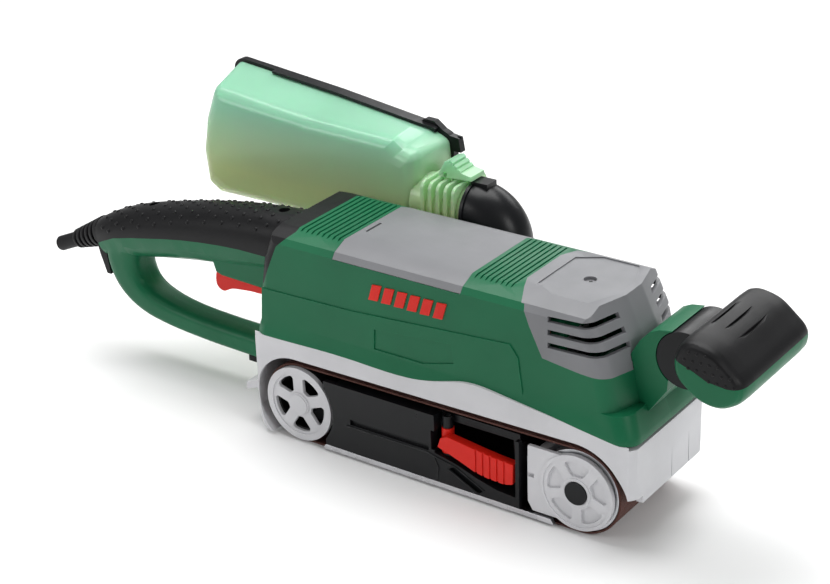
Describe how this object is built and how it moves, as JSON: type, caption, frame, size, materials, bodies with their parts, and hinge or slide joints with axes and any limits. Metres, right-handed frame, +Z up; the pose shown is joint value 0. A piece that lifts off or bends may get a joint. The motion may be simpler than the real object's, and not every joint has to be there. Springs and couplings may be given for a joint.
{
  "type": "handheld belt sander",
  "caption": "Handheld belt sander with a closed rear handle, tilting front knob, side tension lever, open belt side and swivelling dust box.",
  "frame": {"origin": "centre of the sanding face, on the surface that the sander stands on", "axes": "+X runs forward to the front knob, +Y to the drive side with the dust box, +Z up"},
  "size_m": [0.5078, 0.131, 0.1767],
  "materials": {
    "green_plastic": "moulded, fine grain",
    "light_plastic": "moulded, fine grain",
    "grey_plastic": "moulded, fine grain",
    "dark_plastic": "moulded, fine grain",
    "softgrip": "soft, matt",
    "red_plastic": "moulded, semi-gloss",
    "clear_green": "tinted clear moulding",
    "abrasive": "resin bonded grit on cloth",
    "rubber": "matt",
    "steel": "zinc plated",
    "bright_steel": "ground",
    "aluminium": "cast",
    "copper": "enamelled wire",
    "carbon": "pressed carbon",
    "paper": "pleated filter paper",
    "cork_pad": "graphite cloth"
  },
  "bodies": {
    "frame": {"housing_left": "green_plastic", "housing_right": "green_plastic", "handle_softgrip": "softgrip", "top_screws": "steel", "top_plate": "grey_plastic", "front_cover": "grey_plastic", "housing_screws": "steel", "side_accent": "red_plastic", "belt_shroud": "light_plastic", "belt_frame": "dark_plastic", "sole_plate": "bright_steel", "sole_pad": "cork_pad", "lever_pin": "bright_steel", "bearing_carrier": "aluminium", "toothed_belt": "rubber", "transmission_cover": "dark_plastic", "transmission_screws": "steel", "motor_stator": "steel", "field_coils": "copper", "motor_bearings": "bright_steel", "brush_holders": "copper", "carbon_brushes": "carbon", "brush_springs": "steel", "switch_module": "dark_plastic", "cord_sleeve": "rubber", "handle_foot": "rubber", "dust_outlet": "dark_plastic", "knob_bracket": "green_plastic", "drive_bearings": "bright_steel"},
    "drive_roller": {"drive_drum": "aluminium", "drive_drum_sleeve": "rubber", "drive_shaft": "bright_steel", "drive_wheel_cap": "light_plastic", "driven_pulley": "aluminium"},
    "armature": {"armature_core": "steel", "armature_windings": "copper", "commutator": "copper", "armature_shaft": "bright_steel", "motor_fan": "dark_plastic", "drive_pinion": "bright_steel"},
    "sanding_belt": {"sanding_belt": "abrasive"},
    "tension_lever": {"tension_lever": "red_plastic"},
    "carriage": {"roller_carriage": "light_plastic", "front_axle": "dark_plastic", "tension_spring": "steel"},
    "front_roller": {"front_roller": "aluminium", "front_roller_bearings": "bright_steel"},
    "trigger": {"trigger": "red_plastic"},
    "speed_dial": {"speed_dial": "dark_plastic"},
    "lock_button": {"lock_button": "red_plastic"},
    "dust_elbow": {"dust_elbow": "dark_plastic"},
    "dust_box": {"dust_box": "clear_green"},
    "box_latch": {"box_latch": "clear_green"},
    "dust_box_lid": {"dust_box_lid": "dark_plastic", "filter_frame": "dark_plastic", "dust_filter": "paper"},
    "knob": {"knob_barrel": "dark_plastic", "knob_grip": "softgrip", "knob_shell": "green_plastic", "knob_pin": "dark_plastic"}
  },
  "joints": [
    {"name": "drive_spin", "type": "hinge", "parent": "frame", "child": "drive_roller", "pos_m": [-0.09374, 0, 0.0247], "axis": [0, 1, 0], "continuous": true},
    {"name": "armature_spin", "type": "hinge", "parent": "frame", "child": "armature", "pos_m": [0.044, 0, 0.088], "axis": [0, 1, 0], "continuous": true},
    {"name": "front_roller_spin", "type": "hinge", "parent": "carriage", "child": "front_roller", "pos_m": [0.09374, 0, 0.0256], "axis": [0, 1, 0], "continuous": true},
    {"name": "carriage_slide", "type": "slide", "parent": "frame", "child": "carriage", "axis": [1, 0, 0], "range_m": [-0.0045, 0]},
    {"name": "lever_swing", "type": "hinge", "parent": "frame", "child": "tension_lever", "pos_m": [0.0082, -0.0352, 0.028], "axis": [0, 0, 1], "range_deg": [-75.1, 0]},
    {"name": "belt_pull_off", "type": "slide", "parent": "frame", "child": "sanding_belt", "axis": [0, -1, 0], "range_m": [0, 0.08]},
    {"name": "trigger_squeeze", "type": "hinge", "parent": "frame", "child": "trigger", "pos_m": [-0.142, 0, 0.08], "axis": [0, 1, 0], "range_deg": [0, 6], "stiffness_Nm_per_rad": 1.2, "springref_deg": -6.88},
    {"name": "speed_dial_turn", "type": "hinge", "parent": "trigger", "child": "speed_dial", "pos_m": [-0.152, 0, 0.0746], "axis": [0, 1, 0], "range_deg": [-140, 140]},
    {"name": "lock_press", "type": "slide", "parent": "frame", "child": "lock_button", "axis": [0, -1, 0], "range_m": [0, 0.003], "stiffness_N_per_m": 250, "springref_m": -0.002},
    {"name": "elbow_swivel", "type": "hinge", "parent": "frame", "child": "dust_elbow", "pos_m": [-0.016, 0.061, 0.105], "axis": [0, 0, 1], "range_deg": [-90, 0]},
    {"name": "box_pull_off", "type": "slide", "parent": "dust_elbow", "child": "dust_box", "axis": [-1, 0, 0], "range_m": [0, 0.03]},
    {"name": "latch_lift", "type": "hinge", "parent": "dust_box", "child": "box_latch", "pos_m": [-0.052, 0.061, 0.1446], "axis": [0, 1, 0], "range_deg": [-12, 0], "stiffness_Nm_per_rad": 0.25, "springref_deg": 5.73},
    {"name": "lid_swing", "type": "hinge", "parent": "dust_box", "child": "dust_box_lid", "pos_m": [-0.0636, 0.0866, 0.15], "axis": [0, 0, 1], "range_deg": [-80, 0]},
    {"name": "knob_tilt", "type": "hinge", "parent": "frame", "child": "knob", "pos_m": [0.1433, 0, 0.108], "axis": [0, 1, 0], "range_deg": [-15, 25]}
  ],
  "couplings": [
    {"joint": "armature_spin", "follows": "drive_spin", "ratio": 3.6},
    {"joint": "front_roller_spin", "follows": "drive_spin", "ratio": 0.964},
    {"joint": "lever_swing", "follows": "carriage_slide", "rad_per_m": 290.88}
  ]
}
